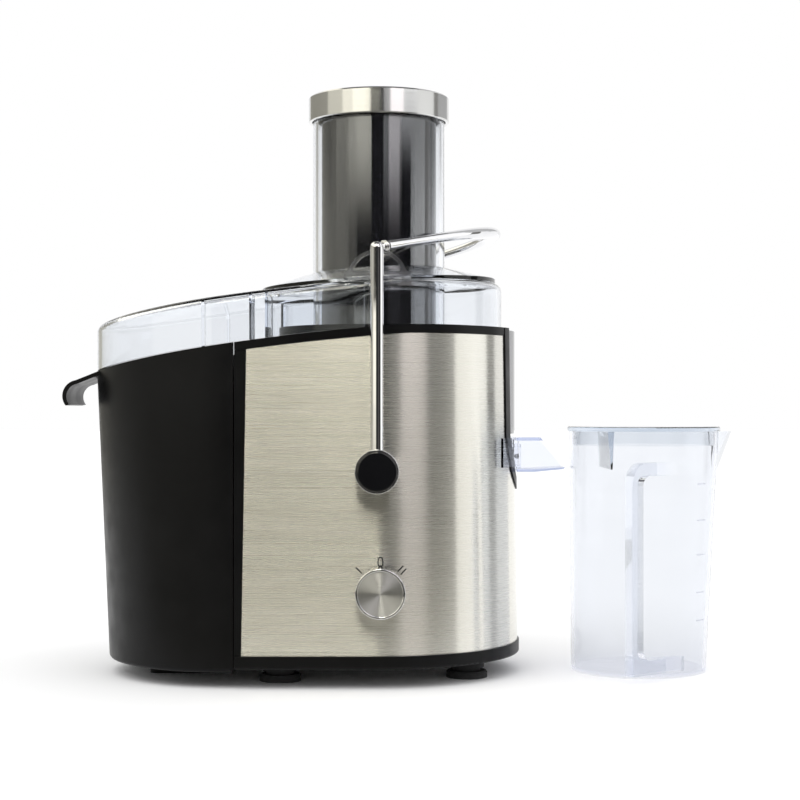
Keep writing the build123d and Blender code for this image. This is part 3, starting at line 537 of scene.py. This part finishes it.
ROD_Y = 101.0 * MM
NECK_Z = 266.0 * MM
LOOP_WAY = Vector((6.5, 5.0, 1.4)) * MM
COLLAR_LOW = 2.6 * MM
COLLAR_WAIST = 2.8 * MM
COLLAR_SHOULDER = 3.4 * MM
COLLAR_TOP = 3.6 * MM
COLLAR_PROFILE = [
    (0.55, COLLAR_LOW), (0.56, COLLAR_SHOULDER), (0.6, COLLAR_TOP), (0.66, COLLAR_SHOULDER),
    (0.68, COLLAR_WAIST), (0.72, COLLAR_WAIST),
    (0.74, COLLAR_SHOULDER), (0.8, COLLAR_TOP), (0.86, COLLAR_SHOULDER), (0.87, COLLAR_LOW),
]


def loop_collar(side, name):
    """Two rounded beads where the arm's loop leaves the top of one rod."""
    bm = bmesh.new()
    start = Vector((AXIS_X, side * ROD_Y, NECK_Z))
    end = start + Vector((LOOP_WAY.x, -side * LOOP_WAY.y, LOOP_WAY.z))
    turned(bm, start, end, COLLAR_PROFILE)
    new_piece("loop_collar_" + name, bm, SLOT_MATERIALS["chrome"], "arm")


dial_marks()
jug_marks()
for side, name in ((-1, "front"), (1, "rear")):
    spout_pin(side, name)
    loop_collar(side, name)


# ---- Stage, light and camera ----

def card_light(name, colour, strengths, ends, axis):
    """Light seen only in mirrored rays, from the first strength at one end to the second at the other."""
    material = bpy.data.materials.new(name)
    material.use_nodes = True
    material.cycles.emission_sampling = "NONE"
    tree = material.node_tree
    tree.nodes.clear()
    light = tree.nodes.new("ShaderNodeEmission")
    light.inputs["Color"].default_value = (*colour, 1)
    place = tree.nodes.new("ShaderNodeTexCoord")
    parts = tree.nodes.new("ShaderNodeSeparateXYZ")
    rise = tree.nodes.new("ShaderNodeMapRange")
    rise.interpolation_type = "SMOOTHSTEP"
    for socket, value in zip(("From Min", "From Max", "To Min", "To Max"), (*ends, *strengths)):
        rise.inputs[socket].default_value = value
    tree.links.new(place.outputs["Object"], parts.inputs["Vector"])
    tree.links.new(parts.outputs[axis], rise.inputs["Value"])
    tree.links.new(rise.outputs["Result"], light.inputs["Strength"])
    path = tree.nodes.new("ShaderNodeLightPath")
    nothing = tree.nodes.new("ShaderNodeBsdfTransparent")
    mix = tree.nodes.new("ShaderNodeMixShader")
    mirrored = tree.nodes.new("ShaderNodeMath")
    mirrored.operation = "MINIMUM"
    mirrored.inputs[1].default_value = 1.0
    tree.links.new(path.outputs["Glossy Depth"], mirrored.inputs[0])
    tree.links.new(mirrored.outputs["Value"], mix.inputs["Fac"])
    tree.links.new(nothing.outputs["BSDF"], mix.inputs[1])
    tree.links.new(light.outputs["Emission"], mix.inputs[2])
    output = tree.nodes.new("ShaderNodeOutputMaterial")
    tree.links.new(mix.outputs["Shader"], output.inputs["Surface"])
    return material


def stage_mesh(name, corners, faces, material):
    """A mesh that belongs to the studio and not to the object."""
    mesh = bpy.data.meshes.new(name)
    mesh.from_pydata(corners, [], faces)
    obj = bpy.data.objects.new(name, mesh)
    bpy.context.scene.collection.objects.link(obj)
    obj.data.materials.append(material)
    return obj


FLOOR_HALF = 12.0


def floor():
    """A pale matt worktop."""
    m = Shader("floor", Roughness=0.9, Specular_IOR_Level=0.1)
    tone = m.noise(m.place(), 2.5, detail=2)
    m.colour(m.between(m.spread(tone, 0, 1), (0.93, 0.93, 0.93), (0.96, 0.96, 0.96)))
    corners = [(x * FLOOR_HALF, y * FLOOR_HALF, 0) for x, y in ((-1, -1), (1, -1), (1, 1), (-1, 1))]
    stage_mesh("floor", corners, [(0, 1, 2, 3)], m.material)


# Cards stand round the object in a circle: a low wall and a sky above it, up to a ceiling
WALL_R = 1.6
WALL_TOP = 0.85
SKY_TOP = 2.6
WALL_STEPS = 3


def mirrored_only(card):
    """Keeps a card out of the picture itself, off dull surfaces and out of shadows."""
    card.visible_camera = False
    card.visible_diffuse = False
    card.visible_shadow = False
    card.visible_volume_scatter = False


def studio_card(name, start, end, colour, strengths, ends, low=0.0, high=WALL_TOP, radius=WALL_R):
    """An upright curved card, seen only in reflections, that changes between two heights.

    It runs from the angle start to the angle end, in degrees from the front and positive to the right.
    """
    corners, faces = [], []
    for i in range(WALL_STEPS + 1):
        turn = math.radians(start + (end - start) * i / WALL_STEPS)
        x, y = AXIS_X + radius * math.sin(turn), -radius * math.cos(turn)
        corners += [(x, y, low), (x, y, high)]
    for i in range(WALL_STEPS):
        faces.append((2 * i, 2 * i + 2, 2 * i + 3, 2 * i + 1))
    light = card_light("card_" + name, colour, strengths, ends, "Z")
    mirrored_only(stage_mesh("card_" + name, corners, faces, light))


def flat_card(name, low, high, z, colour, strengths, ends):
    """A level card, seen only in reflections, that changes between two places along Y."""
    corners = [(low[0], low[1], z), (high[0], low[1], z), (high[0], high[1], z), (low[0], high[1], z)]
    light = card_light("card_" + name, colour, strengths, ends, "Y")
    mirrored_only(stage_mesh("card_" + name, corners, [(0, 1, 2, 3)], light))


WARM = (1.0, 0.965, 0.83)
PINK = (1.0, 0.95, 0.955)
PLAIN = (1, 1, 1)

# Heights between which a card changes
EARLY = (0.42, 0.6)
LATE = (0.52, 0.66)
HIGH = (0.88, 1.06)
FOOT = (0.0, 0.26)

# Name, first and last angle, colour, lower and upper strength, heights of the change
CARDS = (
    ("left_back", -150, -90, WARM, (0.5, 0.35), EARLY),
    ("left_soft", -90, -60, WARM, (0.6, 0.85), EARLY),
    ("left_gap", -60, -42, WARM, (0.35, 1.5), EARLY),
    ("left_strip", -42, -20, WARM, (0.05, 2.0), EARLY),
    ("left_near", -20, -13, WARM, (0.05, 1.8), EARLY),
    ("camera_gap", -13, 9, PLAIN, (0.03, 0.03), EARLY),
    ("right_near", 9, 19, PLAIN, (0.03, 0.6), EARLY),
    ("right_pink", 19, 41, PINK, (0.1, 1.9), EARLY),
    ("right_dark", 41, 65, PLAIN, (0.02, 1.6), LATE),
    ("right_soft", 65, 101, (1, 1, 0.985), (1.5, 1.0), EARLY),
    ("right_tan", 101, 112, (1, 0.98, 0.93), (0.2, 0.3), EARLY),
    ("right_back", 112, 150, PLAIN, (1.15, 0.5), EARLY),
)
SKY = (
    ("sky_left", -150, -14, WARM, (1.5, 1.5), EARLY),
    ("sky_front_left", -14, -7.8, WARM, (0.04, 7.4), HIGH),
    ("sky_front", -7.8, -4.6, WARM, (0.04, 3.6), HIGH),
    ("sky_front_right", -4.6, 1.5, WARM, (0.04, 8.6), HIGH),
    ("sky_gap", 1.5, 18, PLAIN, (0.1, 0.8), HIGH),
    ("sky_pink", 18, 42, PINK, (2.6, 2.6), EARLY),
    ("sky_dark", 42, 64, PLAIN, (0.05, 0.05), EARLY),
    ("sky_right", 64, 101, PLAIN, (1.3, 1.3), EARLY),
    ("sky_back", 101, 150, PLAIN, (0.6, 0.6), EARLY),
)


def lights():
    """A white world that the camera sees as the background, and two wide lamps for soft shadows."""
    world = bpy.data.worlds.new("studio")
    bpy.context.scene.world = world
    world.use_nodes = True
    world.cycles.sampling_method = "NONE"
    world.node_tree.nodes["Background"].inputs["Color"].default_value = (1, 1, 1, 1)
    world.node_tree.nodes["Background"].inputs["Strength"].default_value = 1.0
    for name, tilt, turn, spread, power in (
        ("key", 38, -35, 50, 0.75),
        ("fill", 45, 60, 60, 0.35),
    ):
        data = bpy.data.lights.new(name, "SUN")
        data.angle = math.radians(spread)
        data.energy = power
        lamp = bpy.data.objects.new(name, data)
        bpy.context.scene.collection.objects.link(lamp)
        lamp.rotation_euler = (math.radians(tilt), 0, math.radians(turn))
        lamp.visible_glossy = False


CAMERA_RIGHT = 13.8 * MM
CAMERA_AWAY = 1.146
CAMERA_UP = 0.17


def camera():
    """A level camera in front of the spin axis."""
    data = bpy.data.cameras.new("camera")
    data.lens = 78.75
    data.sensor_width = 36
    data.shift_y = 0.01
    data.clip_end = 60
    obj = bpy.data.objects.new("camera", data)
    bpy.context.scene.collection.objects.link(obj)
    obj.location = (AXIS_X + CAMERA_RIGHT, -CAMERA_AWAY, CAMERA_UP)
    obj.rotation_euler = (math.radians(90), 0, 0)
    bpy.context.scene.camera = obj


floor()
flat_card("table", (-1.3, -1.58), (1.3, -0.13), 1 * MM, WARM, (0.03, 0.55), (-0.62, -0.2))
flat_card("ceiling", (-WALL_R, -WALL_R), (WALL_R, WALL_R), SKY_TOP, PLAIN, (0.15, 0.15), (0.0, 1.0))
for card in CARDS:
    studio_card(*card)
studio_card("base_left", -64, -13, WARM, (0.6, 1.4), FOOT, high=0.32, radius=WALL_R - 10 * MM)
for card in SKY:
    studio_card(*card, low=WALL_TOP, high=SKY_TOP)
lights()
camera()
bpy.context.scene.view_settings.view_transform = "Standard"
